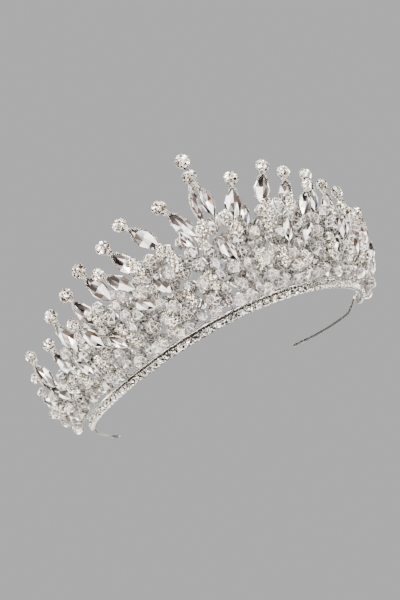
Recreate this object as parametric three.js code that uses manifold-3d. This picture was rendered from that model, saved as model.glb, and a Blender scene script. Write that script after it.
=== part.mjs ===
// A bridal tiara, in millimetres, +Z up, front towards -Y, standing on the lower edge of its band.
//
// A round headband wire bends round the head in one plane and ends in two wire eyes. A chain of
// stones in square cups is bound under it. Above it stands a fan of wired sprays: each is a stem
// strung with clear rondelles, most of them topped by a navette and a round chaton on a short neck.
//
// A place on the crown is given by its station, the distance along the band from the centre front
// (positive to +X), and by its height above the base. The crown leans outwards as it rises.

import * as THREE from 'three';
import { mergeVertices } from 'three/addons/utils/BufferGeometryUtils.js';
import Module from 'manifold-3d';

const wasm = await Module();
wasm.setup();

// ---------------------------------------------------------------- driving dimensions
const BEND_STEP = 25;                                  // spacing of the bend radii below
const BEND_RADII = [44, 60, 116, 122, 42, 25, 21];     // from the centre front to the tail
const BAND_HALF = 107;                                 // the stones and the rail end here
const TAIL_END = 146;                                  // station where the wire eye begins
const LEFT_TAIL_RADIUS = 110;                          // the left tail is bent in less than the right

const STONE_PITCH = 3.4;
const CUP_SIDE = 2.7;
const CUP_DEPTH = 2.2;
const STONE_RISE = 0.6;
const LINK_HEIGHT = 0.8;
const LINK_DEPTH = 0.5;
const LINK_OVERLAP = 0.3;                              // a link runs this far into each cup
const LINK_INSET = 0.15;                               // and lies this far in from their backs
const CHAIN_HEIGHT = CUP_SIDE / 2;                     // centre line of the chain

const RAIL_RADIUS = 0.6;
const RAIL_HEIGHT = 4.0;                               // centre line of the headband wire
const TAIL_HEIGHT = RAIL_RADIUS + 0.05;                // the tails just clear the table
const EYE_LENGTH = 7;
const EYE_WIDTH = 3.4;
const COLLAR_RADIUS = 1.15;
const COLLAR_LENGTH = 2.4;
const TAIL_DROP = 14;                                  // the tails come down over this length

const BINDING_WIRE = 0.3;
const BINDING_GAP = 0.2;
const BINDING_CHAMFER = 0.5;

const FLARE_FRONT = 0.26;                              // outward lean at the centre front
const FLARE_GROWTH = 0.33;                             // added at 100 mm along the band
const STEM_PITCH = 5.8;
const STEM_RADIUS = 0.45;
const FOOT_HEIGHT = 5.9;
const FRONT_BOW = 3.6;                                 // odd stems bow forwards from the crown's
const BACK_BOW = -0.4;                                 // surface, even ones hardly leave it

const BEAD_RADIUS = 2.75;
const BEAD_LENGTH = 4.6;
const BEAD_SPACING = 4.9;
const BEAD_NECK = 0.7;
const BEAD_SIDES = 6;
const FIRST_BEAD_HEIGHT = 7.6;

const NAVETTE_LENGTH = 14.8;
const NAVETTE_WIDTH = 6.8;
const NAVETTE_THICKNESS = 3.2;
const NAVETTE_BEVEL = 1.3;
const TIP_MITRE = 1.6;                                 // a bevel reaches this much further at a tip
const CHATON_RADIUS = 3.0;
const CHATON_THICKNESS = 4.2;
const NECK_RADIUS = 0.55;
const NECK_LENGTH = 0.9;
const NECK_OVERLAP = 1.2;                              // the neck runs this far into its chaton
const CLEARANCE = 0.3;
const FRONTWARD = 0.8;                                 // how far the crystals turn to the front

// The two navettes at the centre front stand like an open book.
const V_SPREAD = 2.35;
const V_LEAN = 0.03;
const V_TURN = 1;
const V_SIZE = 0.86;

// ---------------------------------------------------------------- the crown's sprays
// Stems stand STEM_PITCH apart and are numbered from the centre. A spike is a stem that carries
// a navette and a chaton: station and tip place its chaton, lean is how far its crystals lean
// sideways for each millimetre of rise, and size scales them. Every other stem is a plain string
// of rondelles.
const SPIKES = new Map([
  [0, { station: 0, tip: 54.8, lean: 0, size: 1 }],
  [1, { station: 12.2, tip: 49.2, lean: 0.35, size: 1 }],
  [3, { station: 25.4, tip: 51, lean: 0.5, size: 1 }],
  [5, { station: 34, tip: 47.5, lean: 0.4, size: 1 }],
  [7, { station: 46, tip: 46, lean: 0.3, size: 1 }],
  [9, { station: 56, tip: 42, lean: 0.3, size: 1 }],
  [11, { station: 66.9, tip: 39.8, lean: 0.1, size: 1 }],
  [13, { station: 77.3, tip: 32.5, lean: 0.2, size: 0.95 }],
  [15, { station: 88.2, tip: 34.5, lean: 0, size: 0.88 }],
  [16, { station: 97, tip: 28.5, lean: 0.4, size: 0.78 }],
  [17, { station: 104.5, tip: 24.5, lean: 0.4, size: 0.75 }],
]);
const LAST_STEM = 18;
const CROWN_CENTRE_HEIGHT = 60.9;                      // the upper chaton at the centre front
const FIELD_TOP_FRONT = 38;                            // top of the plain strings at the centre
const FIELD_TOP_END = 15;

// Each spray is bound as one piece: its stems share a foot wire.
const SPRAY_STEMS = [[1, 2], [3, 4], [5, 6], [7, 8], [9, 10], [11, 12], [13, 14]];
const END_TUFT_STEMS = [15, 16, 17, 18];
const END_TUFT_SPIKES = [16, 17];                      // their crystals are part of the tuft

// ---------------------------------------------------------------- finishes
const silver = new THREE.MeshStandardMaterial({ color: 0xd8d8da, metalness: 1, roughness: 0.18 });
const glass = new THREE.MeshStandardMaterial({ color: 0xe9e6e6, metalness: 0, roughness: 0.05 });
const foiled = new THREE.MeshStandardMaterial({ color: 0xf2f0ec, metalness: 0.6, roughness: 0.08 });

// ---------------------------------------------------------------- solids
function toSolid(geometry) {
  const bare = geometry.index ? geometry.toNonIndexed() : geometry.clone();
  for (const name of Object.keys(bare.attributes)) {
    if (name !== 'position') bare.deleteAttribute(name);
  }
  const merged = mergeVertices(bare, 1e-4);
  const corners = merged.index.array;
  const kept = [];
  for (let i = 0; i < corners.length; i += 3) {
    const [a, b, c] = [corners[i], corners[i + 1], corners[i + 2]];
    if (a !== b && b !== c && c !== a) kept.push(a, b, c);
  }
  return new wasm.Manifold(new wasm.Mesh({
    numProp: 3,
    vertProperties: new Float32Array(merged.attributes.position.array),
    triVerts: new Uint32Array(kept),
  }));
}

function join(geometries) {
  const solids = geometries.map(toSolid);
  return solids.reduce((whole, solid) => whole.add(solid));
}

function toGeometry(solid) {
  const mesh = solid.getMesh();
  const geometry = new THREE.BufferGeometry();
  geometry.setAttribute('position', new THREE.BufferAttribute(mesh.vertProperties, 3));
  geometry.setIndex(new THREE.BufferAttribute(mesh.triVerts, 1));
  geometry.computeVertexNormals();
  return geometry;
}

const tiara = new THREE.Group();

function addPiece(name, geometries, material) {
  const mesh = new THREE.Mesh(toGeometry(join(geometries)), material);
  mesh.name = name;
  tiara.add(mesh);
}

// ---------------------------------------------------------------- the band's plan curve
const PLAN_STEP = 0.5;
const plans = new Map([-1, 1].map((side) => [side, makePlan(side)]));

function bendAt(station, side) {
  if (side < 0 && station > BAND_HALF) return 1 / LEFT_TAIL_RADIUS;
  const place = Math.min(station / BEND_STEP, BEND_RADII.length - 1.001);
  const first = Math.floor(place);
  return THREE.MathUtils.lerp(1 / BEND_RADII[first], 1 / BEND_RADII[first + 1], place - first);
}

function makePlan(side) {
  const points = [{ x: 0, y: 0, heading: 0 }];
  for (let station = 0; station < TAIL_END + EYE_LENGTH; station += PLAN_STEP) {
    const last = points[points.length - 1];
    const turn = bendAt(station + PLAN_STEP / 2, side) * PLAN_STEP;
    const middle = last.heading + turn / 2;
    points.push({
      x: last.x + Math.cos(middle) * PLAN_STEP,
      y: last.y + Math.sin(middle) * PLAN_STEP,
      heading: last.heading + turn,
    });
  }
  return points;
}

// The frame at a station: a point of the plan curve, the direction along it, and outwards.
function bandFrame(station) {
  const side = Math.sign(station) || 1;
  const plan = plans.get(side);
  const place = Math.min(Math.abs(station) / PLAN_STEP, plan.length - 1.001);
  const first = Math.floor(place);
  const [a, b, mix] = [plan[first], plan[first + 1], place - first];
  const x = THREE.MathUtils.lerp(a.x, b.x, mix) * side;
  const y = THREE.MathUtils.lerp(a.y, b.y, mix);
  const heading = THREE.MathUtils.lerp(a.heading, b.heading, mix) * side;
  return {
    point: new THREE.Vector3(x, y, 0),
    along: new THREE.Vector3(Math.cos(heading), Math.sin(heading), 0),
    out: new THREE.Vector3(Math.sin(heading), -Math.cos(heading), 0),
  };
}

function flareAt(station) {
  return FLARE_FRONT + FLARE_GROWTH * (station / 100) ** 2;
}

function crownPoint(station, height, depth) {
  const { point, out } = bandFrame(station);
  const reach = flareAt(station) * (height - CHAIN_HEIGHT) + depth;
  return point.addScaledVector(out, reach).setZ(height);
}

// ---------------------------------------------------------------- wires and strings
function wire(points, radius, steps, sides = 6) {
  const section = new THREE.Shape();
  for (let i = 0; i < sides; i += 1) {
    const angle = (i + 0.5) * 2 * Math.PI / sides;
    const [x, y] = [radius * Math.cos(angle), radius * Math.sin(angle)];
    if (i === 0) section.moveTo(x, y);
    else section.lineTo(x, y);
  }
  section.closePath();
  const path = new THREE.CatmullRomCurve3(points, false, 'centripetal');
  return new THREE.ExtrudeGeometry(section, { extrudePath: path, steps });
}

// Turns a shape made upright on the Y axis so that its axis follows a curve from its start.
function followCurve(geometry, curve, length, facing) {
  const position = geometry.attributes.position;
  const total = curve.getLength();
  for (let i = 0; i < position.count; i += 1) {
    const along = THREE.MathUtils.clamp(position.getY(i), 0, length) / total;
    const tangent = curve.getTangentAt(along);
    const across = new THREE.Vector3().crossVectors(tangent, facing).normalize();
    const front = new THREE.Vector3().crossVectors(across, tangent);
    const point = curve.getPointAt(along)
      .addScaledVector(across, position.getX(i))
      .addScaledVector(front, position.getZ(i));
    position.setXYZ(i, point.x, point.y, point.z);
  }
  return geometry;
}

// A place and direction for a piece that sits on a stem, with its face turned outwards.
function seatMatrix(centre, up, facing) {
  const across = new THREE.Vector3().crossVectors(up, facing).normalize();
  const front = new THREE.Vector3().crossVectors(across, up).normalize();
  return new THREE.Matrix4().makeBasis(across, up, front).setPosition(centre);
}

// ---------------------------------------------------------------- stems
function fieldTop(stem) {
  const reach = Math.min(Math.abs(stem) / LAST_STEM, 1);
  return THREE.MathUtils.lerp(FIELD_TOP_FRONT, FIELD_TOP_END, reach ** 1.2);
}

// Where the crystals of a spike begin, as a station and a height.
function crystalFoot({ station, tip, lean, size }) {
  const crystals = size * (CHATON_RADIUS + NECK_LENGTH + NAVETTE_LENGTH) + 2 * CLEARANCE;
  const rise = crystals / Math.hypot(1, lean);
  return { station: station - lean * rise, height: tip - rise };
}

// How far a spike's stem strays sideways from its foot: a smooth bend, then straight to the tip.
function spikeSway(number, height) {
  const spike = SPIKES.get(number);
  const foot = crystalFoot(spike);
  const strayed = foot.station - number * STEM_PITCH;
  if (height > foot.height) return strayed + spike.lean * (height - foot.height);
  const length = foot.height - FOOT_HEIGHT;
  const t = (height - FOOT_HEIGHT) / length;
  return strayed * t * t * (3 - 2 * t) + spike.lean * length * t * t * (t - 1);
}

// A plain stem strays as far as the spikes beside it do.
function swayOf(stem, height) {
  const number = Math.abs(stem);
  if (SPIKES.has(number)) return spikeSway(number, height);
  const beside = [number - 1, number + 1].filter((spike) => SPIKES.has(spike));
  const sways = beside.map((spike) => {
    const { height: top } = crystalFoot(SPIKES.get(spike));
    return spikeSway(spike, Math.min(height, top));
  });
  return sways.reduce((sum, sway) => sum + sway, 0) / sways.length;
}

// The height that a stem's bow is reckoned to: the tip of its own or the nearest spike.
function reachOf(stem) {
  const number = Math.abs(stem);
  return (SPIKES.get(number) ?? SPIKES.get(number - 1)).tip;
}

function stemPoint(stem, height) {
  const side = Math.sign(stem) || 1;
  const rise = height / reachOf(stem);
  const bow = Math.abs(stem) % 2 === 0 ? BACK_BOW : FRONT_BOW;
  const station = stem * STEM_PITCH + side * swayOf(stem, height);
  return crownPoint(station, height, bow * Math.sin(Math.PI * rise));
}

function stemCurve(stem, top) {
  const points = [];
  const count = 12;
  for (let i = 0; i <= count; i += 1) {
    points.push(stemPoint(stem, THREE.MathUtils.lerp(FOOT_HEIGHT, top, i / count)));
  }
  return new THREE.CatmullRomCurve3(points, false, 'centripetal');
}

// Where the crystals of a spike sit: the chaton at the tip, the navette under its neck.
function spikeSeats(stem) {
  const { tip, size } = SPIKES.get(Math.abs(stem));
  const curve = stemCurve(stem, tip);
  const length = curve.getLength();
  const neckEnd = length - size * (CHATON_RADIUS + NECK_LENGTH);
  const navetteFoot = neckEnd - CLEARANCE - size * NAVETTE_LENGTH;
  const front = new THREE.Vector3(0, -FRONTWARD, 0);
  const seat = (distance) => ({
    centre: curve.getPointAt(distance / length),
    up: curve.getTangentAt(distance / length),
    facing: bandFrame(stem * STEM_PITCH).out.add(front).normalize(),
    size,
  });
  return {
    chaton: seat(length),
    navette: seat((navetteFoot + neckEnd - CLEARANCE) / 2),
    stringEnd: navetteFoot - CLEARANCE,
    curve,
  };
}

// A stem strung with rondelles, as one turned profile bent along the stem.
function beadString(curve, length, facing) {
  const firstBead = FIRST_BEAD_HEIGHT - FOOT_HEIGHT;
  const room = length - firstBead - BEAD_LENGTH / 2;
  const beads = 1 + Math.floor(room / BEAD_SPACING);
  const spacing = beads > 1 ? room / (beads - 1) : 0;
  const profile = [new THREE.Vector2(0, 0), new THREE.Vector2(STEM_RADIUS, 0)];
  for (let i = 0; i < beads; i += 1) {
    const middle = firstBead + i * spacing;
    profile.push(new THREE.Vector2(BEAD_NECK, middle - BEAD_LENGTH / 2));
    profile.push(new THREE.Vector2(BEAD_RADIUS, middle));
    if (i === beads - 1) profile.push(new THREE.Vector2(BEAD_NECK, middle + BEAD_LENGTH / 2));
  }
  const lastNeck = profile[profile.length - 1].y;
  if (length - lastNeck > 0.5) profile.push(new THREE.Vector2(STEM_RADIUS, length));
  profile.push(new THREE.Vector2(0, profile[profile.length - 1].y));
  return followCurve(new THREE.LatheGeometry(profile, BEAD_SIDES), curve, length, facing);
}

function plainString(stem) {
  const curve = stemCurve(stem, fieldTop(stem));
  return beadString(curve, curve.getLength(), bandFrame(stem * STEM_PITCH).out);
}

function spikeString(stem) {
  const { curve, stringEnd } = spikeSeats(stem);
  return beadString(curve, stringEnd, bandFrame(stem * STEM_PITCH).out);
}

function footWire(stems) {
  const points = stems.map((stem) => stemPoint(stem, FOOT_HEIGHT));
  return wire(points, STEM_RADIUS + 0.1, 3 * (stems.length - 1));
}

// ---------------------------------------------------------------- crystals
function navetteGeometry() {
  const bevel = NAVETTE_BEVEL;
  const [half, reach] = [NAVETTE_WIDTH / 2 - bevel, NAVETTE_LENGTH / 2 - TIP_MITRE * bevel];
  const outline = new THREE.Shape();
  outline.moveTo(0, -reach);
  outline.quadraticCurveTo(2 * half, 0, 0, reach);
  outline.quadraticCurveTo(-2 * half, 0, 0, -reach);
  const girdle = NAVETTE_THICKNESS - 2 * bevel;
  return new THREE.ExtrudeGeometry(outline, {
    depth: girdle,
    curveSegments: 4,
    bevelThickness: bevel,
    bevelSize: bevel,
    bevelSegments: 1,
  }).translate(0, 0, -girdle / 2);
}

function chatonGeometries(hasNeck) {
  const [back, front] = [-CHATON_THICKNESS / 2, CHATON_THICKNESS / 2];
  const stone = new THREE.LatheGeometry([
    new THREE.Vector2(0, back),
    new THREE.Vector2(0.5 * CHATON_RADIUS, back),
    new THREE.Vector2(CHATON_RADIUS, 0.2),
    new THREE.Vector2(0.55 * CHATON_RADIUS, front),
    new THREE.Vector2(0, front),
  ], 8).rotateX(Math.PI / 2);
  if (!hasNeck) return [stone];
  const neckLength = NECK_LENGTH + NECK_OVERLAP;
  const neck = new THREE.CylinderGeometry(NECK_RADIUS, NECK_RADIUS, neckLength, 6)
    .translate(0, -CHATON_RADIUS - NECK_LENGTH + neckLength / 2, 0);
  return [stone, neck];
}

function placed(geometries, seat) {
  const matrix = seatMatrix(seat.centre, seat.up, seat.facing)
    .multiply(new THREE.Matrix4().makeScale(seat.size, seat.size, seat.size));
  return geometries.map((geometry) => geometry.applyMatrix4(matrix));
}

// ---------------------------------------------------------------- headband wire
function headband() {
  const points = [];
  const step = 6;
  for (let station = step; station < TAIL_END; station += step) points.push(station);
  points.push(TAIL_END);
  const stations = [...points.map((station) => -station).reverse(), 0, ...points];
  return wire(stations.map(railPoint), RAIL_RADIUS, 72);
}

function railPoint(station) {
  const fall = THREE.MathUtils.smoothstep(Math.abs(station), BAND_HALF, BAND_HALF + TAIL_DROP);
  const height = THREE.MathUtils.lerp(RAIL_HEIGHT, TAIL_HEIGHT, fall);
  return bandFrame(station).point.setZ(height);
}

// The wire turns back on itself in a long eye, closed by a wound collar.
function eyeGeometries(side) {
  const { point, along, out } = bandFrame(side * TAIL_END);
  const ahead = along.multiplyScalar(side);
  const at = (forward, sideways) => point.clone().setZ(TAIL_HEIGHT)
    .addScaledVector(ahead, forward).addScaledVector(out, sideways);
  const half = EYE_WIDTH / 2;
  const loop = wire([
    at(-COLLAR_LENGTH / 3, 0.3),
    at(COLLAR_LENGTH / 3, 0.35),
    at(0.45 * EYE_LENGTH, half),
    at(0.8 * EYE_LENGTH, 0.75 * half),
    at(EYE_LENGTH, 0),
    at(0.8 * EYE_LENGTH, -0.75 * half),
    at(0.45 * EYE_LENGTH, -half),
    at(COLLAR_LENGTH / 3, -0.35),
    at(-COLLAR_LENGTH / 3, -0.3),
  ], RAIL_RADIUS - 0.05, 16);
  const turn = new THREE.Matrix4().makeBasis(out, ahead, new THREE.Vector3().crossVectors(out, ahead));
  const collar = new THREE.CylinderGeometry(COLLAR_RADIUS, COLLAR_RADIUS, COLLAR_LENGTH, 8, 1)
    .rotateY(Math.PI / 8)
    .scale(1, 1, (RAIL_RADIUS - 0.02) / (COLLAR_RADIUS * Math.cos(Math.PI / 8)))
    .applyMatrix4(turn.setPosition(at(0, 0)));
  return [loop, collar];
}

// ---------------------------------------------------------------- cup chain
function cupPoint(station) {
  return bandFrame(station).point.setZ(CHAIN_HEIGHT);
}

function cupChain() {
  const pieces = [];
  const count = Math.floor(BAND_HALF / STONE_PITCH);
  const corner = CUP_SIDE / Math.SQRT2;
  const [back, rim, table] = [-CUP_DEPTH / 2, CUP_DEPTH / 2, CUP_DEPTH / 2 + STONE_RISE];
  for (let i = -count; i <= count; i += 1) {
    const { out } = bandFrame(i * STONE_PITCH);
    const seat = seatMatrix(cupPoint(i * STONE_PITCH), new THREE.Vector3(0, 0, 1), out);
    const cup = new THREE.LatheGeometry([
      new THREE.Vector2(0, back),
      new THREE.Vector2(corner, back),
      new THREE.Vector2(corner, rim),
      new THREE.Vector2(0.55 * corner, table),
      new THREE.Vector2(0, table),
    ], 4).rotateY(Math.PI / 4).rotateX(Math.PI / 2);
    pieces.push(cup.applyMatrix4(seat));
    if (i === count) continue;
    const middle = bandFrame((i + 0.5) * STONE_PITCH);
    const linkLength = STONE_PITCH - CUP_SIDE + 2 * LINK_OVERLAP;
    const link = new THREE.BoxGeometry(linkLength, LINK_HEIGHT, LINK_DEPTH)
      .translate(0, 0, back + LINK_DEPTH / 2 + LINK_INSET);
    const centre = middle.point.setZ(CHAIN_HEIGHT);
    pieces.push(link.applyMatrix4(seatMatrix(centre, new THREE.Vector3(0, 0, 1), middle.out)));
  }
  return pieces;
}

// ---------------------------------------------------------------- bindings
// One turn of fine wire holds the chain's link up against the headband wire.
function binding(station) {
  const { point, out } = bandFrame(station);
  const inner = new THREE.Shape();
  const outer = new THREE.Shape();
  const low = CHAIN_HEIGHT - LINK_HEIGHT / 2 - BINDING_GAP;
  const high = RAIL_HEIGHT + RAIL_RADIUS + BINDING_GAP;
  const half = CUP_DEPTH / 2 + BINDING_GAP;
  drawFrame(inner, half, low, high, BINDING_CHAMFER);
  drawFrame(outer, half + BINDING_WIRE, low - BINDING_WIRE, high + BINDING_WIRE, BINDING_CHAMFER);
  outer.holes.push(inner);
  const ring = new THREE.ExtrudeGeometry(outer, { depth: BINDING_WIRE, bevelEnabled: false })
    .translate(0, 0, -BINDING_WIRE / 2)
    .rotateY(Math.PI / 2);
  return [ring.applyMatrix4(seatMatrix(point, new THREE.Vector3(0, 0, 1), out))];
}

function drawFrame(shape, half, low, high, chamfer) {
  shape.moveTo(-half + chamfer, low);
  shape.lineTo(half - chamfer, low);
  shape.lineTo(half, low + chamfer);
  shape.lineTo(half, high - chamfer);
  shape.lineTo(half - chamfer, high);
  shape.lineTo(-half + chamfer, high);
  shape.lineTo(-half, high - chamfer);
  shape.lineTo(-half, low + chamfer);
  shape.closePath();
}

// ---------------------------------------------------------------- assembly
addPiece('headband_wire', [headband(), ...eyeGeometries(-1), ...eyeGeometries(1)], silver);
addPiece('cup_chain', cupChain(), silver);
const BINDING_LINKS = { binding_left: -17.5, binding_centre: -0.5, binding_right: 16.5 };
for (const [name, link] of Object.entries(BINDING_LINKS)) {
  addPiece(name, binding(link * STONE_PITCH), silver);
}

// Centre front: one stem under two navettes set as a V, with two chatons one above the other.
addPiece('spray_centre', [spikeString(0)], glass);
const centre = spikeSeats(0);
addPiece('chaton_centre_lower', placed(chatonGeometries(true), centre.chaton), foiled);
const upper = { ...centre.chaton, centre: crownPoint(0, CROWN_CENTRE_HEIGHT, 0) };
addPiece('chaton_centre_upper', placed(chatonGeometries(false), upper), foiled);
for (const side of [-1, 1]) {
  const { navette } = centre;
  const across = new THREE.Vector3(side, 0, 0);
  const seat = {
    centre: navette.centre.clone().addScaledVector(across, V_SPREAD),
    up: navette.up.clone().addScaledVector(across, -V_LEAN).normalize(),
    facing: navette.facing.clone().addScaledVector(across, -V_TURN).normalize(),
    size: V_SIZE,
  };
  addPiece(side < 0 ? 'navette_centre_left' : 'navette_centre_right',
    placed([navetteGeometry()], seat), foiled);
}

for (const side of [-1, 1]) {
  const hand = side < 0 ? 'left' : 'right';
  SPRAY_STEMS.forEach(([spike, plain], i) => {
    const stems = [side * spike, side * plain];
    const strings = [spikeString(stems[0]), plainString(stems[1]), footWire(stems)];
    addPiece(`spray_${hand}_${i + 1}`, strings, glass);
    addCrystals(stems[0], `${hand}_${i + 1}`);
  });
  const tuft = END_TUFT_STEMS.map((stem) => side * stem);
  const tuftPieces = [footWire(tuft)];
  for (const stem of tuft) {
    tuftPieces.push(SPIKES.has(Math.abs(stem)) ? spikeString(stem) : plainString(stem));
    if (END_TUFT_SPIKES.includes(Math.abs(stem))) tuftPieces.push(...tuftCrystals(stem));
  }
  addPiece(`end_tuft_${hand}`, tuftPieces, glass);
  addCrystals(tuft[0], `${hand}_${SPRAY_STEMS.length + 1}`);
}

function addCrystals(stem, suffix) {
  const seats = spikeSeats(stem);
  addPiece(`navette_${suffix}`, placed([navetteGeometry()], seats.navette), foiled);
  addPiece(`chaton_${suffix}`, placed(chatonGeometries(true), seats.chaton), foiled);
}

// In the tufts the crystals and the string share one continuous wire.
function tuftCrystals(stem) {
  const seats = spikeSeats(stem);
  const { curve, stringEnd } = seats;
  const total = curve.getLength();
  const stretch = [stringEnd - 1, (stringEnd + total) / 2, total].map(
    (distance) => curve.getPointAt(distance / total));
  return [
    wire(stretch, STEM_RADIUS, 2),
    ...placed([navetteGeometry()], seats.navette),
    ...placed(chatonGeometries(true), seats.chaton),
  ];
}

// The origin is the middle of the footprint, on the plane the tiara stands on.
const box = new THREE.Box3().setFromObject(tiara, true);
const middle = box.getCenter(new THREE.Vector3());
tiara.position.set(-middle.x, -middle.y, -box.min.z);
tiara.updateMatrixWorld(true);

export default tiara;
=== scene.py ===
"""Looks of a bridal tiara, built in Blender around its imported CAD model.

Lengths are in millimetres until a mesh is made, which is in metres. A place on the crown is given by its
station, the distance along the band from the centre front (positive to +X), and by its height above the
base. The band, the stems and the seats of the crystals follow the same rules as the CAD model.
"""

import random
from itertools import chain
from math import cos, hypot, pi, radians, sin, tan, tau

import bmesh
import bpy
import numpy as np
from mathutils import Matrix, Vector


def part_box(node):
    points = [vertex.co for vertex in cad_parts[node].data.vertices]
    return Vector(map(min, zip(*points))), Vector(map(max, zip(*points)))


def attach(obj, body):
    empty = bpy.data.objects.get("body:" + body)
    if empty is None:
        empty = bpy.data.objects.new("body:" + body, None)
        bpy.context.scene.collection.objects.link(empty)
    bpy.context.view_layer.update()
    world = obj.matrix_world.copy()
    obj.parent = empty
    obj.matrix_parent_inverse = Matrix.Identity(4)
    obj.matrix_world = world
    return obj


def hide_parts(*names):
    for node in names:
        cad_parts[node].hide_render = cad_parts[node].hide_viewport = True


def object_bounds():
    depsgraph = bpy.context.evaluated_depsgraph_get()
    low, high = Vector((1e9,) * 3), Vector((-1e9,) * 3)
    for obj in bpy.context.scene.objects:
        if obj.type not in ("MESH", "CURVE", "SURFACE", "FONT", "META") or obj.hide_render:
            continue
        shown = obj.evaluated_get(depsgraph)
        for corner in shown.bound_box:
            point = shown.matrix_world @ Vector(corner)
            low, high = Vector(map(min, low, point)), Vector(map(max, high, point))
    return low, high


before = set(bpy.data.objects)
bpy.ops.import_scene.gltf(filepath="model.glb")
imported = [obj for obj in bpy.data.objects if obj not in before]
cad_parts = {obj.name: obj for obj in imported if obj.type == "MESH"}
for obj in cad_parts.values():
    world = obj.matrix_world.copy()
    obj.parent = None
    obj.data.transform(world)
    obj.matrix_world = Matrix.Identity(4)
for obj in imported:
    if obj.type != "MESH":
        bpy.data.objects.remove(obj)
cad_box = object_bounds()

MM = 0.001
SEED = 11
UP = np.array([0, 0, 1.0])
HANDS = ((-1, "left"), (1, "right"))

# ---- dimensions shared with the CAD model
BEND_STEP = 25
BEND_RADII = [44, 60, 116, 122, 42, 25, 21]
BAND_HALF = 107
TAIL_END = 146
LEFT_TAIL_RADIUS = 110

STONE_PITCH = 3.4
CUP_SIDE = 2.7
CUP_DEPTH = 2.2
CHAIN_HEIGHT = CUP_SIDE / 2

RAIL_RADIUS = 0.6
RAIL_HEIGHT = 4.0
TAIL_HEIGHT = RAIL_RADIUS + 0.05
TAIL_DROP = 14
EYE_LENGTH = 7
EYE_WIDTH = 3.4
EYE_RADIUS = RAIL_RADIUS - 0.12
COLLAR_LENGTH = 2.4
COLLAR_RADIUS = 0.88
COLLAR_TURNS = 7
COLLAR_SQUASH = 0.56
COLLAR_WIRE = 0.17

FLARE_FRONT = 0.26
FLARE_GROWTH = 0.33
STEM_PITCH = 5.8
FOOT_HEIGHT = 5.9
FRONT_BOW = 3.6
BACK_BOW = -0.4
FIRST_BEAD_HEIGHT = 7.6

NAVETTE_LENGTH = 14.8
NAVETTE_WIDTH = 6.8
CHATON_RADIUS = 3.0
NECK_LENGTH = 0.9
CLEARANCE = 0.3
FRONTWARD = 0.8

V_SPREAD = 2.35
V_LEAN = 0.03
V_TURN = 1
V_SIZE = 0.86

# Stem number: station and height of its chaton, sideways lean of its crystals, and their size.
SPIKES = {
    0: (0, 54.8, 0, 1), 1: (12.2, 49.2, 0.35, 1), 3: (25.4, 51, 0.5, 1), 5: (34, 47.5, 0.4, 1),
    7: (46, 46, 0.3, 1), 9: (56, 42, 0.3, 1), 11: (66.9, 39.8, 0.1, 1), 13: (77.3, 32.5, 0.2, 0.95),
    15: (88.2, 34.5, 0, 0.88), 16: (97, 28.5, 0.4, 0.78), 17: (104.5, 24.5, 0.4, 0.75),
}
LAST_STEM = 18
CROWN_CENTRE_HEIGHT = 60.9
FIELD_TOP_FRONT = 38
FIELD_TOP_END = 15
FIELD_TOP_FALL = 1.2
FIELD_HALF = LAST_STEM * STEM_PITCH
SPRAY_STEMS = [(1, 2), (3, 4), (5, 6), (7, 8), (9, 10), (11, 12), (13, 14)]
END_TUFT_STEMS = (15, 16, 17, 18)
OWN_SPIKES = 8

# ---- dimensions of the fine detail
BEAD_RADIUS = 2.75
BEAD_LENGTH = 4.5
BEAD_SPACING = 4.7

# The chain's cups are drawn a little wide, to close the chain up as the dark wire behind it does. That
# wire is painted shade: a near-black line in the shadowed gap between rail and chain.
CUP_SPREAD = 1.12
CUP_WALL = 0.25
CUP_CLAW_RADIUS = 0.3
LINK_RADIUS = 0.32
LINK_HALF = 0.7
SHADE_WIRE_HEIGHT = 3.05
SHADE_WIRE_RADIUS = 0.36
SHADE_WIRE_BEHIND = 0.2
BINDING_WIRE = 0.14

STEM_RADIUS = 0.3
LEG_RADIUS = 0.24
SHANK_RADIUS = 0.34
SPROUT_RADIUS = 0.2
FOOT_WIRE, FOOT_TWIST = 0.2, 1.4
NECK_RADII = (1.5, 1.2, 0.9)
NECK_SPREAD = 1.1
NECK_WIRE, NECK_TWIST = 0.25, 1.6
JOIN_RADIUS = 0.5


# ---- the band and the crown's surface
def unit(vector):
    vector = np.asarray(vector, float)
    return vector / np.linalg.norm(vector)


def bend_at(station, side):
    """The band's curvature: it runs evenly between those of BEND_RADII, which are BEND_STEP apart."""
    if side < 0 and station > BAND_HALF:
        return 1 / LEFT_TAIL_RADIUS
    place = min(station / BEND_STEP, len(BEND_RADII) - 1.001)
    first = int(place)
    mix = place - first
    return (1 - mix) / BEND_RADII[first] + mix / BEND_RADII[first + 1]


PLAN_STEP = 0.5


def make_plan(side):
    """The band's plan curve on one side, in even steps: rows of x, y and heading."""
    rows = [(0.0, 0.0, 0.0)]
    station = 0.0
    while station < TAIL_END + EYE_LENGTH:
        x, y, heading = rows[-1]
        turn = bend_at(station + PLAN_STEP / 2, side) * PLAN_STEP
        middle = heading + turn / 2
        rows.append((x + cos(middle) * PLAN_STEP, y + sin(middle) * PLAN_STEP, heading + turn))
        station += PLAN_STEP
    return np.array(rows)


PLANS = {side: make_plan(side) for side in (-1, 1)}
FRONT_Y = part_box("headband_wire")[0].y / MM + RAIL_RADIUS


def band_frame(station):
    """A point of the band's plan curve, the direction along it, and the direction outwards."""
    side = -1 if station < 0 else 1
    plan = PLANS[side]
    at = min(abs(station) / PLAN_STEP, len(plan) - 1.001)
    first = int(at)
    x, y, heading = plan[first] * (1 - at + first) + plan[first + 1] * (at - first)
    heading *= side
    return (
        np.array([x * side, y + FRONT_Y, 0.0]),
        np.array([cos(heading), sin(heading), 0.0]),
        np.array([sin(heading), -cos(heading), 0.0]),
    )


def band_point(station, height, depth=0.0):
    """A point at a height over the band, and depth outwards from it."""
    point, _, out = band_frame(station)
    return point + out * depth + UP * height


def flare_at(station):
    return FLARE_FRONT + FLARE_GROWTH * (station / 100) ** 2


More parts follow.
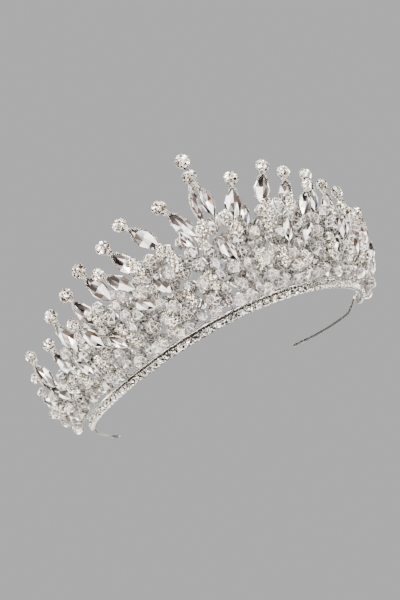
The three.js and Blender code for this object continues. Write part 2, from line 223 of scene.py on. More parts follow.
def crown_point(station, height, depth):
    """A point at a height on the crown's surface, and depth outwards from it."""
    return band_point(station, height, flare_at(station) * (height - CHAIN_HEIGHT) + depth)


def crown_axes(station):
    """The directions along the band, outwards, and up the crown's surface."""
    _, along, out = band_frame(station)
    return along, out, unit(out * flare_at(station) + UP)


def smoothstep(value, low, high):
    t = min(max((value - low) / (high - low), 0.0), 1.0)
    return t * t * (3 - 2 * t)


def rail_point(station):
    fall = smoothstep(abs(station), BAND_HALF, BAND_HALF + TAIL_DROP)
    return band_point(station, RAIL_HEIGHT + (TAIL_HEIGHT - RAIL_HEIGHT) * fall)


# ---- stems
def field_top(reach):
    """The top of the field of rondelles. reach grows from 0 at the front to 1 at the last stem."""
    return FIELD_TOP_FRONT + (FIELD_TOP_END - FIELD_TOP_FRONT) * min(abs(reach), 1) ** FIELD_TOP_FALL


def crystal_foot(number):
    """Station and height at which the crystals of a spike begin."""
    station, tip, lean, size = SPIKES[number]
    crystals = size * (CHATON_RADIUS + NECK_LENGTH + NAVETTE_LENGTH) + 2 * CLEARANCE
    rise = crystals / hypot(1, lean)
    return station - lean * rise, tip - rise


def spike_sway(number, height):
    """How far a spike's stem strays sideways: a smooth bend, then straight to the tip."""
    lean = SPIKES[number][2]
    foot_station, foot_height = crystal_foot(number)
    strayed = foot_station - number * STEM_PITCH
    if height > foot_height:
        return strayed + lean * (height - foot_height)
    length = foot_height - FOOT_HEIGHT
    t = (height - FOOT_HEIGHT) / length
    return strayed * smoothstep(t, 0, 1) + lean * length * t * t * (t - 1)


def sway_of(stem, height):
    """A plain stem strays as far as the spikes beside it do."""
    number = abs(stem)
    if number in SPIKES:
        return spike_sway(number, height)
    beside = [n for n in (number - 1, number + 1) if n in SPIKES]
    return sum(spike_sway(n, min(height, crystal_foot(n)[1])) for n in beside) / len(beside)


def reach_of(stem):
    """The height of the tip of a stem's own spike, or of the spike before it."""
    number = abs(stem)
    return SPIKES.get(number, SPIKES.get(number - 1))[1]


def stem_point(stem, height):
    side = -1 if stem < 0 else 1
    rise = height / reach_of(stem)
    bow = BACK_BOW if abs(stem) % 2 == 0 else FRONT_BOW
    station = stem * STEM_PITCH + side * sway_of(stem, height)
    return crown_point(station, height, bow * sin(pi * rise))


class Path:
    """A smooth line through points, walked by its length."""

    def __init__(self, points):
        self.points = np.array(points, float)
        steps = np.linalg.norm(np.diff(self.points, axis=0), axis=1)
        self.marks = np.concatenate([[0], np.cumsum(steps)])
        self.length = self.marks[-1]

    def at(self, distance):
        return np.array([np.interp(distance, self.marks, self.points[:, i]) for i in range(3)])

    def along(self, distance, reach=0.4):
        return unit(self.at(min(distance + reach, self.length)) - self.at(max(distance - reach, 0)))


def stem_path(stem, top):
    return Path([stem_point(stem, h) for h in np.linspace(FOOT_HEIGHT, top, 60)])


def seat_matrix(centre, up, facing):
    """Local X across, Y up the stem and Z out of the face, as a 4x4."""
    up = unit(up)
    across = unit(np.cross(up, facing))
    matrix = np.eye(4)
    matrix[:3, 0], matrix[:3, 1], matrix[:3, 2] = across, up, np.cross(across, up)
    matrix[:3, 3] = centre
    return matrix


def spike_seats(stem):
    """Where a spike's chaton and navette sit on its path, and where its string of rondelles ends."""
    _, tip, _, size = SPIKES[abs(stem)]
    path = stem_path(stem, tip)
    facing = unit(band_frame(stem * STEM_PITCH)[2] + np.array([0, -FRONTWARD, 0]))
    high = path.length - size * (CHATON_RADIUS + NECK_LENGTH) - CLEARANCE
    low = high - size * NAVETTE_LENGTH
    middle = (high + low) / 2
    return {
        "chaton": seat_matrix(path.at(path.length), path.along(path.length), facing),
        "navette": seat_matrix(path.at(middle), path.along(middle), facing),
        "string_end": low - CLEARANCE,
        "path": path,
        "size": size,
    }


# ---- gathering faces into pieces
class Shape:
    """Corner points and faces, whether they are smooth, and which tone each face takes."""

    def __init__(self, points, faces, smooth=False, tones=None):
        self.points = np.asarray(points, float)
        self.faces = faces
        self.smooth = smooth
        self.tones = tones or [0] * len(faces)


def new_object(name, data):
    thing = bpy.data.objects.new(name, data)
    bpy.context.scene.collection.objects.link(thing)
    return thing


class Soup:
    """Shapes placed together, to become one piece."""

    def __init__(self):
        self.points, self.faces, self.smooth, self.colours = [], [], [], []
        self.count = 0

    def add(self, shape, matrix=None, colours=((1, 1, 1),)):
        points = shape.points
        if matrix is not None:
            points = points @ matrix[:3, :3].T + matrix[:3, 3]
        self.points.append(points)
        self.faces += [tuple(self.count + i for i in face) for face in shape.faces]
        self.smooth += [shape.smooth] * len(shape.faces)
        self.colours += [colours[tone % len(colours)] for tone in shape.tones]
        self.count += len(points)

    def make(self, name, material, slot, *nodes):
        mesh = bpy.data.meshes.new(name)
        mesh.from_pydata((np.concatenate(self.points) * MM).tolist(), [], self.faces)
        mesh.polygons.foreach_set("use_smooth", self.smooth)
        layer = mesh.color_attributes.new("tone", "FLOAT_COLOR", "CORNER")
        sizes = [len(face) for face in self.faces]
        rgba = np.ones((len(self.faces), 4))
        rgba[:, :3] = self.colours
        layer.data.foreach_set("color", np.repeat(rgba, sizes, axis=0).ravel())
        mesh.materials.append(material)
        mesh.update()
        piece = new_object(name, mesh)
        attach(piece, "root")
        if nodes:
            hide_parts(*nodes)


def scaled(matrix, x, y=None, z=None):
    """matrix, with its local axes stretched."""
    return matrix @ np.diag([x, x if y is None else y, x if z is None else z, 1.0])


def moved(matrix, x=0.0, y=0.0, z=0.0):
    """matrix, moved along its own axes."""
    new = matrix.copy()
    new[:3, 3] += matrix[:3, 0] * x + matrix[:3, 1] * y + matrix[:3, 2] * z
    return new


def spun(matrix, angle):
    """matrix, turned about its own Y axis."""
    c, s = cos(angle), sin(angle)
    turn = np.eye(4)
    turn[0, 0], turn[0, 2], turn[2, 0], turn[2, 2] = c, s, -s, c
    return matrix @ turn


def neighbours(count):
    """Each number below count with the next one, the last with the first."""
    return [(j, (j + 1) % count) for j in range(count)]


def ring(radius, height, count, phase=0.0):
    angles = (np.arange(count) + phase) * tau / count
    return np.stack([radius * np.cos(angles), np.full(count, height), radius * np.sin(angles)], 1)


def skin(rings, smooth=False):
    """A closed surface over rings of points, each joined to the next."""
    count = len(rings[0])
    last = (len(rings) - 1) * count
    faces = [tuple(reversed(range(count)))]
    for low in range(0, last, count):
        for j, k in neighbours(count):
            faces.append((low + j, low + k, low + count + k, low + count + j))
    faces.append(tuple(range(last, last + count)))
    return Shape(np.concatenate(rings), faces, smooth)


def tube(points, radius, sides=8):
    """A round wire along points, with closed ends. radius is a number or one for each point."""
    points = np.asarray(points, float)
    radii = np.broadcast_to(radius, len(points))
    ahead = np.gradient(points, axis=0)
    ahead /= np.linalg.norm(ahead, axis=1)[:, None]
    normal = np.cross(ahead[0], [0, 0, 1])
    if np.linalg.norm(normal) < 0.1:
        normal = np.cross(ahead[0], [1, 0, 0])
    angles = np.arange(sides) * tau / sides
    rings = []
    for point, direction, r in zip(points, ahead, radii):
        normal = unit(normal - direction * (normal @ direction))
        binormal = np.cross(direction, normal)
        rings.append(point + r * (np.outer(np.cos(angles), normal) + np.outer(np.sin(angles), binormal)))
    return skin(rings, smooth=True)


def bar(start, end, radius):
    """A straight wire with a point at its middle, for a radius that may be one for each point."""
    return tube([start, (start + end) / 2, end], radius)


def lathe_z(profile, sides):
    """Turns (radius, height) points about Z. The profile starts and ends on the axis."""
    points, faces, rows = [], [], []
    for radius, height in profile:
        if radius < 1e-6:
            rows.append([len(points)])
            points.append([0, height, 0])
        else:
            rows.append(list(range(len(points), len(points) + sides)))
            points.extend(ring(radius, height, sides).tolist())
    for low, high in zip(rows, rows[1:]):
        for j, k in neighbours(sides):
            corners = [low[j % len(low)], high[j % len(high)], high[k % len(high)], low[k % len(low)]]
            kept = tuple(dict.fromkeys(corners))
            if len(kept) > 2:
                faces.append(kept)
    return Shape(np.array(points, float)[:, [2, 0, 1]], faces, smooth=True)


def coil_points(path, radius, turns, phase=0.0, steps=12):
    """Points of a helix wound about a path."""
    count = max(int(turns * steps), 4)
    points = []
    side = unit(np.cross(path.along(0), [0.3, 0.2, 1.0]))
    for i in range(count + 1):
        distance = path.length * i / count
        axis = path.along(distance)
        side = unit(side - axis * (side @ axis))
        angle = tau * turns * i / count + phase
        outward = cos(angle) * side + sin(angle) * np.cross(axis, side)
        points.append(path.at(distance) + radius * outward)
    return points


def add_rope(soup, points, wire_radius, pitch):
    """Two fine wires twisted round each other along points, with one turn in each pitch."""
    path = Path(points)
    turns = max(path.length / pitch, 1)
    for phase in (0, pi):
        soup.add(tube(coil_points(path, wire_radius, turns, phase, 8), wire_radius, 5))


# ---- cut shapes
# The index of a rondelle's edge tone, which bead_tones paints near white as a painted highlight.
BEAD_EDGE = 6


def rondelle():
    """A faceted rondelle of radius 1 and length 2 about Y, with its drilled hole."""
    sides = 8
    hole, sunk, flat, girdle = 0.16, 0.86, 0.52, 0.14
    rows = [
        ring(hole, sunk, sides),
        ring(flat, 1.0, sides),
        ring(1.0, girdle, sides, 0.5),
        ring(1.0, -girdle, sides, 0.5),
        ring(flat, -1.0, sides),
        ring(hole, -sunk, sides),
    ]
    faces, tones = [], []

    def quads(a, b, tone):
        for j, k in neighbours(sides):
            faces.append((a * sides + k, b * sides + k, b * sides + j, a * sides + j))
            tones.append(tone)

    quads(0, 1, 0)
    for j, k in neighbours(sides):
        a, b, c, d = (row * sides + j for row in range(1, 5))
        e, f, g, h = (row * sides + k for row in range(1, 5))
        faces += [(a, e, b), (e, f, b), (c, h, d), (c, g, h)]
        tones += [1 + j % 3, 2 + j % 3, 3 - j % 3, 4 - j % 3]
    quads(2, 3, 0)
    quads(4, 5, 0)
    # The hole's lining takes tone 5, which bead_tones paints darkest: painted shade.
    quads(5, 0, 5)
    return Shape(np.concatenate(rows), faces, tones=tones)


def brilliant(table=0.46, rise=0.5, back=0.7, sides=8):
    """A round brilliant of radius 1 that faces +Z, its girdle at height 0."""
    girdle = 2 * sides
    points = np.concatenate([
        ring(table, rise, sides),
        ring(0.5 * (1 + table) + 0.02, rise * 0.56, sides, 0.5),
        ring(1.0, 0.0, girdle),
        ring(1.0, -0.08, girdle),
        [[0, -back, 0], [0, rise + 0.02, 0]],
    ])[:, [0, 2, 1]]
    faces, tones = [], []
    low = 2 * girdle
    apex, crown = low + girdle, low + girdle + 1
    for j, k in neighbours(sides):
        mid, edge, end = sides + j, girdle + 2 * j, girdle + 2 * k
        faces += [(crown, j, k), (j, mid, k), (k, mid, end, sides + k), (mid, edge, edge + 1),
                  (mid, edge + 1, end)]
        tones += [j, 3 + j, 7 + j, 11 + j, 15 + j]
    for j, k in neighbours(girdle):
        faces += [(girdle + j, low + j, low + k, girdle + k), (low + j, apex, low + k)]
        tones += [j, 5 + j]
    return Shape(points, faces, tones=tones)


def marquise(u, width, length):
    """Half width and place along Y of a marquise outline, u from -1 to 1."""
    return width / 2 * (1 - abs(u) ** 1.85), u * length / 2


NAVETTE_TONES = 22


def navette_stone(width, length, rise, back):
    """A marquise that faces +Z, its points up and down Y: a lozenge of long facets, and a rim."""
    half, reach = width / 2, length / 2
    stops = (1, 0.5, 0.02, -0.48, -1)
    points = [[0, 0.5 * reach, rise], [0, -0.5 * reach, rise], [0, 0, rise * 1.08], [0, 0, -back]]
    top, bottom, centre, keel = range(4)
    faces, tones = [], []
    for side in (1, -1):
        corner = len(points)
        points.append([side * 0.4 * half, 0.05 * side * reach, rise])
        inner, outer = [], []
        for u in stops:
            x, y = marquise(u, width, length)
            inner.append(len(points))
            points.append([side * x * 0.86, y * 0.95, 0.3 * rise])
            outer.append(len(points))
            points.append([side * x, y, 0.0])
        new = [
            (top, inner[0], inner[1]), (top, inner[1], corner), (corner, inner[1], inner[2]),
            (corner, inner[2], inner[3]), (corner, inner[3], bottom), (bottom, inner[3], inner[4]),
            (top, corner, centre), (centre, corner, bottom),
        ]
        first = 0 if side > 0 else 8
        kinds = list(range(first, first + 8))
        for i in range(len(stops) - 1):
            new.append((inner[i], outer[i], outer[i + 1], inner[i + 1]))
            new.append((outer[i], keel, outer[i + 1]))
            kinds += [16 + (i + side) % 4, 20 + i % 2]
        if side > 0:
            new = [face[::-1] for face in new]
        faces += new
        tones += kinds
    return welded(Shape(points, faces, tones=tones))


def welded(shape):
    """shape, with corners that meet joined, and faces that this flattens to a line left out."""
    index, kept, remap = {}, [], []
    for point in shape.points:
        key = tuple(np.round(point, 5))
        if key not in index:
            index[key] = len(kept)
            kept.append(point)
        remap.append(index[key])
    faces, tones = [], []
    for face, tone in zip(shape.faces, shape.tones):
        corners = tuple(dict.fromkeys(remap[i] for i in face))
        if len(corners) > 2:
            faces.append(corners)
            tones.append(tone)
    return Shape(kept, faces, shape.smooth, tones)


def edged(shape, share, tone):
    """shape, with each face drawn in towards its middle by share, and a rim of another tone round it."""
    points, faces, tones = list(shape.points), [], []
    for face, kind in zip(shape.faces, shape.tones):
        corners = shape.points[list(face)]
        middle = corners.mean(axis=0)
        first = len(points)
        points += list(corners + (middle - corners) * share)
        inner = tuple(range(first, first + len(face)))
        faces.append(inner)
        tones.append(kind)
        for j, k in neighbours(len(face)):
            faces.append((face[j], face[k], inner[k], inner[j]))
            tones.append(tone)
    return Shape(points, faces, tones=tones)


def shattered(shape):
    """shape, with each face split about its middle, and a tone of its own for every splinter."""
    points, faces = list(shape.points), []
    for face in shape.faces:
        points.append(shape.points[list(face)].mean(axis=0))
        faces += [(face[j], face[k], len(points) - 1) for j, k in neighbours(len(face))]
    return Shape(points, faces, tones=list(range(len(faces))))


def claw(foot, shoulder, tip, radius):
    """A claw that rises from foot, passes shoulder and bends over to tip."""
    foot, shoulder, tip = (np.asarray(p, float) for p in (foot, shoulder, tip))
    bend = shoulder + (shoulder - foot) * 0.12
    points = [foot, (foot + shoulder) / 2, shoulder, (bend + tip) / 2 + 0.05 * (bend - foot), tip]
    return tube(points, [radius, radius, radius, radius * 0.95, radius * 0.7], 6)


# ---- materials
def set_inputs(node, **values):
    """Sets a node's sockets, or links them to other nodes'. A space in a name is written _ here."""
    for name, value in values.items():
        socket = node.inputs[name.replace("_", " ")]
        if isinstance(value, bpy.types.NodeSocket):
            node.id_data.links.new(value, socket)
        else:
            socket.default_value = value


def add_node(tree, kind, **values):
    node = tree.nodes.new("ShaderNode" + kind)
    set_inputs(node, **values)
    return node


def new_material(name, **values):
    """A material, its node tree and its shader."""
    material = bpy.data.materials.new(name)
    material.use_nodes = True
    tree = material.node_tree
    shader = tree.nodes["Principled BSDF"]
    set_inputs(shader, **values)
    return material, tree, shader


def roughen(tree, shader, scale, strength, low, high, distance=0.0002):
    """Fine noise, which is returned: it bumps the surface and spreads the roughness from low to high."""
    place = add_node(tree, "TexCoord").outputs["Object"]
    value = add_node(tree, "TexNoise", Vector=place, Scale=scale, Detail=3).outputs["Fac"]
    bump = add_node(tree, "Bump", Height=value, Strength=strength, Distance=distance)
    spread = add_node(tree, "MapRange", Value=value, To_Min=low, To_Max=high)
    set_inputs(shader, Normal=bump.outputs["Normal"], Roughness=spread.outputs["Result"])
    return value


def two_coloured(tree, value, low, high):
    """A colour that follows value: low and high each give a value and the colour beyond it."""
    ramp = add_node(tree, "ValToRGB", Fac=value)
    for element, (position, colour) in zip(ramp.color_ramp.elements, (low, high)):
        element.position = position
        element.color = (*colour, 1)
    return ramp.outputs["Color"]


def cut_material(name, scale, strength, low, high, **values):
    """A coated material whose base colour is the tone that each face was given: painted highlights,
    reflections and shade on the facets.
    """
    material, tree, shader = new_material(name, Coat_Roughness=0.02, **values)
    tone = add_node(tree, "Attribute")
    tone.attribute_name = "tone"
    set_inputs(shader, Base_Color=tone.outputs["Color"])
    roughen(tree, shader, scale, strength, low, high)
    return material


def silver_material(name, roughness, colour, tarnish):
    material, tree, shader = new_material(name, Metallic=1.0)
    wear = roughen(tree, shader, 700, 0.2, roughness + 0.1, roughness, 0.00003)
    set_inputs(shader, Base_Color=two_coloured(tree, wear, (0.36, tarnish), (0.5, colour)))
    return material


def one_way_material(name, colour):
    """A matt surface that is seen from its front and passed through from behind."""
    material, tree, shader = new_material(
        name, Base_Color=(*colour, 1), Roughness=0.75, Specular_IOR_Level=0.2)
    mix = add_node(tree, "MixShader", Fac=add_node(tree, "NewGeometry").outputs["Backfacing"])
    tree.links.new(shader.outputs["BSDF"], mix.inputs[1])
    tree.links.new(add_node(tree, "BsdfTransparent").outputs["BSDF"], mix.inputs[2])
    set_inputs(tree.nodes["Material Output"], Surface=mix.outputs["Shader"])
    return material


CLEAR = {"Transmission_Weight": 0.4, "IOR": 1.55, "Coat_Weight": 0.6}
FOILED = {"Metallic": 0.5, "Coat_Weight": 1.0, "Coat_IOR": 1.6}
GLASS = cut_material("clear_glass", 900, 0.1, 0.02, 0.08, **CLEAR)
CRYSTAL = cut_material("foiled_crystal", 500, 0.05, 0.05, 0.13, **FOILED)
SPARK = cut_material("pave_stones", 500, 0.05, 0.1, 0.18, **FOILED)
RAIL_SILVER = silver_material("polished_silver", 0.1, (0.74, 0.715, 0.675), (0.4, 0.38, 0.355))
# The tails are the same silver wire as the rail, drawn near black: a shaded copy of it, as painted shade.
TAIL_WIRE_PAINTED_SHADE = silver_material("tail_wire_painted_shade", 0.3, (0.055, 0.053, 0.05), (0.04, 0.038, 0.036))
FINE_SILVER = silver_material("drawn_silver_wire", 0.14, (0.44, 0.415, 0.375), (0.06, 0.05, 0.04))
# The chain's cups and links are silver, drawn near black as painted shade under and between the stones.
CUP_SILVER_PAINTED_SHADE = silver_material("shaded_silver_cups", 0.2, (0.045, 0.039, 0.032), (0.014, 0.011, 0.009))
# The sprigs' settings are warm champagne silver, darkened further as painted shade between the tiny
# stones.
SPRIG_SILVER_PAINTED_SHADE = silver_material("warm_sprig_settings_painted_shade", 0.2, (0.24, 0.205, 0.155), (0.04, 0.03, 0.02))
BRIGHT_SILVER = silver_material("bright_silver_claws", 0.1, (0.62, 0.59, 0.54), (0.1, 0.085, 0.07))

# The tones painted on a cut stone's facets: white, pale, rose, slate, dark, amber, blue, cream and straw.
# They stand in for what the facets mirror: white and cream are painted highlights, slate and dark painted
# shade, and the others tinted painted reflections.
TONES = {
    "W": (1.0, 0.99, 0.97), "P": (0.2, 0.19, 0.18), "R": (0.075, 0.06, 0.053), "S": (0.03, 0.027, 0.027),
    "D": (0.005, 0.004, 0.004), "A": (0.05, 0.027, 0.014), "B": (0.07, 0.09, 0.15),
    "C": (0.72, 0.65, 0.5), "T": (0.14, 0.11, 0.068),
}
# The near-white colour of a rondelle's facet edges: a painted highlight.
BEAD_EDGE_HIGHLIGHT = (1.0, 0.94, 0.86)


# ---- camera, light and stage
CAMERA_AZIMUTH = -12.9
CAMERA_ELEVATION = -16.36
CAMERA_ROLL = -27.89
CAMERA_DISTANCE = 377.2
CAMERA_SHIFT = (-13.8, 29.5)
CAMERA_LENS = 49
CAMERA_SENSOR = 36
PIVOT_BEHIND_FRONT = 75

STAGE_GREY = (0.07, 0.0735, 0.077)
BACKDROP_GLOW = (0.52, 0.52, 0.52)
FLOOR_REACH = 2500
FLOOR_DROP = 0.02
BACKDROP_RADIUS = 3000
STUDIO_GREY = (0.07, 0.068, 0.066)
STRIP_LIGHT = (18, 17.2, 16.2)

# Name, place, width and height, and power of each lamp. They all face one point.
LAMPS = [
    ("key", (-260, -330, 330), (160, 160), 11),
    ("side", (380, -200, 160), (90, 260), 5),
    ("low", (-160, -380, -140), (120, 120), 1.3),
    ("top", (40, -60, 420), (240, 160), 3),
    ("back", (60, 380, 240), (260, 160), 2.1),
]
LIT_POINT = Vector((0, 0, 25))
LAMP_COLOUR = (1.0, 0.965, 0.92)


def make_camera():
    azimuth, elevation, roll = map(radians, (CAMERA_AZIMUTH, CAMERA_ELEVATION, CAMERA_ROLL))
    flat = cos(elevation)
    back = Vector((sin(azimuth) * flat, -cos(azimuth) * flat, sin(elevation)))
    level = Vector((cos(azimuth), sin(azimuth), 0))
    right = level * cos(roll) + back.cross(level) * sin(roll)
    up = back.cross(right)
    pivot = Vector((0, FRONT_Y + PIVOT_BEHIND_FRONT, CHAIN_HEIGHT))
    place = pivot + back * CAMERA_DISTANCE + right * CAMERA_SHIFT[0] + up * CAMERA_SHIFT[1]
    data = bpy.data.cameras.new("camera")
    data.sensor_width = CAMERA_SENSOR
    data.lens = CAMERA_LENS
    data.clip_start = 0.01
    camera = new_object("camera", data)
    rotation = Matrix((right, up, back)).transposed().to_4x4()
    camera.matrix_world = Matrix.Translation(place * MM) @ rotation
    bpy.context.scene.camera = camera


def add_stage(name, mesh, material):
    """A piece of stage that the camera sees, and that throws no light or shade on the crown."""
    mesh.materials.append(material)
    piece = new_object(name, mesh)
    for ray in ("diffuse", "glossy", "transmission", "shadow"):
        setattr(piece, "visible_" + ray, False)


def make_floor():
    mesh = bpy.data.meshes.new("floor")
    reach, drop = FLOOR_REACH * MM, FLOOR_DROP * MM
    corners = ((-1, -1), (1, -1), (1, 1), (-1, 1))
    mesh.from_pydata([(x * reach, y * reach, -drop) for x, y in corners], [], [(0, 1, 2, 3)])
    add_stage("floor", mesh, one_way_material("pale_floor", STAGE_GREY))


def make_backdrop():
    """A plain pale dome far round the crown."""
    mesh = bpy.data.meshes.new("backdrop")
    form = bmesh.new()
    bmesh.ops.create_uvsphere(form, u_segments=48, v_segments=24, radius=BACKDROP_RADIUS * MM)
    bmesh.ops.reverse_faces(form, faces=form.faces)
    form.to_mesh(mesh)
    form.free()
    material, _, _ = new_material("pale_backdrop", Base_Color=(0, 0, 0, 1), Specular_IOR_Level=0,
                                  Emission_Color=(*BACKDROP_GLOW, 1), Emission_Strength=1)
    add_stage("backdrop", mesh, material)


def make_lamp(name, place, size, power):
    data = bpy.data.lights.new(name, "AREA")
    data.shape = "RECTANGLE"
    data.size, data.size_y = size[0] * MM, size[1] * MM
    data.energy = power
    data.color = LAMP_COLOUR
    lamp = new_object(name, data)
    lamp.location = Vector(place) * MM
    lamp.rotation_mode = "QUATERNION"
    lamp.rotation_quaternion = (LIT_POINT - Vector(place)).to_track_quat("-Z", "Y")
    lamp.visible_glossy = False


def make_world():
    """A dim grey studio with soft bright strips that the facets pick up."""
    world = bpy.data.worlds.new("studio")
    world.use_nodes = True
    tree = world.node_tree
    place = add_node(tree, "TexCoord").outputs["Generated"]
    strips = add_node(tree, "TexWave", Vector=place, Scale=1.6, Distortion=3.0, Detail=1.0)
    colour = two_coloured(tree, strips.outputs["Fac"], (0.84, STUDIO_GREY), (0.95, STRIP_LIGHT))
    set_inputs(tree.nodes["Background"], Color=colour)
    bpy.context.scene.world = world


# ---- headband wire
def make_headband():
    rail, tails = Soup(), Soup()
    rail.add(tube([rail_point(s) for s in np.arange(-BAND_HALF - 1, BAND_HALF + 2)], RAIL_RADIUS, 12))
    rail.make("headband_rail", RAIL_SILVER, "silver_wire", "headband_wire")
    for side in (-1, 1):
        stations = np.linspace(BAND_HALF + 0.5, TAIL_END, 40)
        tails.add(tube([rail_point(side * s) for s in stations], RAIL_RADIUS, 12))
        point, along, out = band_frame(side * TAIL_END)
        ahead = along * side
        point[2] = TAIL_HEIGHT

        def at(forward, sideways):
            return point + ahead * forward + out * sideways

        half = EYE_WIDTH / 2 - 0.3
        turn = []
        for angle in np.linspace(-0.93 * pi, 0.93 * pi, 40):
            reach = 0.5 + (EYE_LENGTH - 1) / 2 * (1 + cos(angle))
            turn.append(at(reach, half * sin(angle) * (0.6 + 0.4 * cos(angle / 2))))
        tails.add(tube(turn, EYE_RADIUS, 10))
        collar = Path([at(-COLLAR_LENGTH / 2, 0), at(COLLAR_LENGTH / 2, 0)])
        wound = tube(coil_points(collar, COLLAR_RADIUS, COLLAR_TURNS), COLLAR_WIRE, 6)
        wound.points[:, 2] = TAIL_HEIGHT + (wound.points[:, 2] - TAIL_HEIGHT) * COLLAR_SQUASH
        tails.add(wound)
    tails.make("headband_tails", TAIL_WIRE_PAINTED_SHADE, "silver_wire", "headband_wire")


# ---- cup chain
def cup_shape():
    """A square cup that faces +Z, centred on the chain's middle line."""
    half, back, rim = CUP_SIDE / 2, -CUP_DEPTH / 2, CUP_DEPTH / 2
    lip, inside, soft = rim - 0.35, half - CUP_WALL, 0.5

    def outline(size, height):
        a, b = size, size - soft
        corners = ((a, -b), (a, b), (b, a), (-b, a), (-a, b), (-a, -b), (-b, -a), (b, -a))
        return [[x, y, height] for x, y in corners]

    return skin([
        outline(half * 0.72, back), outline(half * 0.86, back + 0.5), outline(half * 0.96, lip),
        outline(inside, lip), outline(inside, 0.0),
    ])


def make_cup_chain():
    metal, claws, stones = Soup(), Soup(), Soup()
    cup = cup_shape()
    rng = random.Random(SEED)
    stone_radius = CUP_SIDE / 2 - 0.08
    count = int(BAND_HALF / STONE_PITCH)
    reach, rim = CUP_SIDE / 2 - 0.31, CUP_DEPTH / 2
    for i in range(-count, count + 1):
        station = i * STONE_PITCH
        seat = seat_matrix(band_point(station, CHAIN_HEIGHT), UP, band_frame(station)[2])
        seat = scaled(seat, CUP_SPREAD, 1, 1)
        metal.add(cup, seat)
        for x in (-reach, reach):
            for y in (-reach, reach):
                tip = (x * 0.62, y * 0.62, rim + 0.42)
                claws.add(claw((x, y, rim - 0.8), (x, y, rim + 0.1), tip, CUP_CLAW_RADIUS), seat)
        tones = pick_tones(rng, CHAIN_PALETTE)
        stones.add(STONE, scaled(moved(seat, z=rim - 0.1), stone_radius), tones)
        if i < count:
            station += STONE_PITCH / 2
            middle = band_point(station, CHAIN_HEIGHT, 0.4 - rim)
            half = band_frame(station)[1] * LINK_HALF
            metal.add(bar(middle - half, middle + half, LINK_RADIUS))
    # A dark wire in the gap between rail and chain, in the cups' near-black silver: painted shade.
    stations = np.arange(-count * STONE_PITCH, count * STONE_PITCH + 1, 2)
    metal.add(tube([band_point(s, SHADE_WIRE_HEIGHT, -SHADE_WIRE_BEHIND) for s in stations], SHADE_WIRE_RADIUS))
    metal.make("cup_chain_cups", CUP_SILVER_PAINTED_SHADE, "stone_chain", "cup_chain")
    claws.make("cup_chain_claws", BRIGHT_SILVER, "stone_chain")
    stones.make("cup_chain_stones", CRYSTAL, "foiled_crystal")


# ---- bindings
def make_bindings():
    """Each is a wire wound twice round a link of the chain and the rail."""
    for name, link in (("left", -17.5), ("centre", -0.5), ("right", 16.5)):
        soup = Soup()
        station = link * STONE_PITCH
        along = band_frame(station)[1]
        low, high = CHAIN_HEIGHT - 0.75, RAIL_HEIGHT + RAIL_RADIUS + 0.2
        middle, half_height, half_depth = (low + high) / 2, (high - low) / 2, CUP_DEPTH / 2 + 0.3
        points = []
        for angle in np.linspace(0, 4 * pi, 65):
            c, s = cos(angle), sin(angle)
            squared = (abs(c) ** 4 + abs(s) ** 4) ** -0.25
            place = band_point(station, middle + half_height * s * squared, half_depth * c * squared)
            points.append(place + along * 0.3 * (angle / tau - 1))
        soup.add(tube(points, BINDING_WIRE, 6))
        soup.make(f"binding_wire_{name}", FINE_SILVER, "silver_wire", f"binding_{name}")


# ---- stones and their settings
# Letters of TONES from which each kind of stone's facets are painted, in these shares: painted highlights,
# reflections and shade.
CHAIN_PALETTE = "WWWPPCRSSDD"
CHATON_PALETTE = "WWPPCCTTRSDDA"
SPARK_PALETTE = "WWCTTTADD"
RIM_PALETTE = "WWPRS"
STONE_TONES = 19
# A navette's long facets: one flank from point to point with its two by the middle, and then the other.
# The runs of W are painted highlights, and S and D painted shade.
NAVETTE_LIGHT_AND_SHADE = [
    "DDPWWWSW RRPPRSPP",
    "RSWWPPWW DARPPWSP",
    "PWWWPDPS SRRAWWRP",
    "SRPPWWRW DSPRRPSR",
    "WWPRSDPR PRAAWWPW",
    "RPWWBSWP DSRPWWPR",
    "DSRPWWDW PPWPRSRP",
]

RONDELLE = edged(rondelle(), 0.1, BEAD_EDGE)
STONE = brilliant()
CHATON_STONE = shattered(STONE)
SMALL_STONE = brilliant(0.45, 0.55, 0.5, 6)
NAVETTE_STONE = navette_stone(NAVETTE_WIDTH - 0.2, NAVETTE_LENGTH - 0.4, 1.5, 1.1)


def pick_tones(rng, palette, count=STONE_TONES):
    return [TONES[rng.choice(palette)] for _ in range(count)]


def add_navette_setting(soup, matrix):
    """A boat-shaped cup with a thin rim, four claws on its sides and one at each point."""
    length = NAVETTE_LENGTH - 0.3
    turns = np.linspace(-1, 1, 15)
    outline = [marquise(u, NAVETTE_WIDTH - 0.1, length) for u in turns]
    outline += [(-x, y) for x, y in outline[-2:0:-1]]
    rings = []
    for share, height in ((0.66, -1.5), (0.97, -0.45), (1.0, -0.05), (0.93, -0.1), (0.88, -0.5)):
        rings.append([[x * share, y * (0.4 + 0.6 * share), height] for x, y in outline])
    soup.add(skin(rings, smooth=True), matrix)
    for u, side in ((-0.5, 1), (0.5, 1), (-0.5, -1), (0.5, -1)):
        x, y = marquise(u, side * NAVETTE_WIDTH, length)
        soup.add(claw((x * 0.97, y, -0.7), (x, y, 0.2), (x * 0.76, y, 0.72), 0.22), matrix)
    for side in (1, -1):
        y = side * length / 2
        soup.add(claw((0, y * 0.97, -0.7), (0, y * 0.99, 0.15), (0, y * 0.86, 0.6), 0.3), matrix)


def make_navette(name, matrix, silver, rng, *nodes):
    stone = Soup()
    near, far = rng.choice(NAVETTE_LIGHT_AND_SHADE).split()
    if rng.random() < 0.5:
        near, far = far, near
    look = [TONES[letter] for letter in near + far]
    look += pick_tones(rng, RIM_PALETTE, NAVETTE_TONES - len(look))
    stone.add(NAVETTE_STONE, moved(matrix, z=0.1), look)
    stone.make(name, CRYSTAL, "foiled_crystal", *nodes)
    add_navette_setting(silver, matrix)


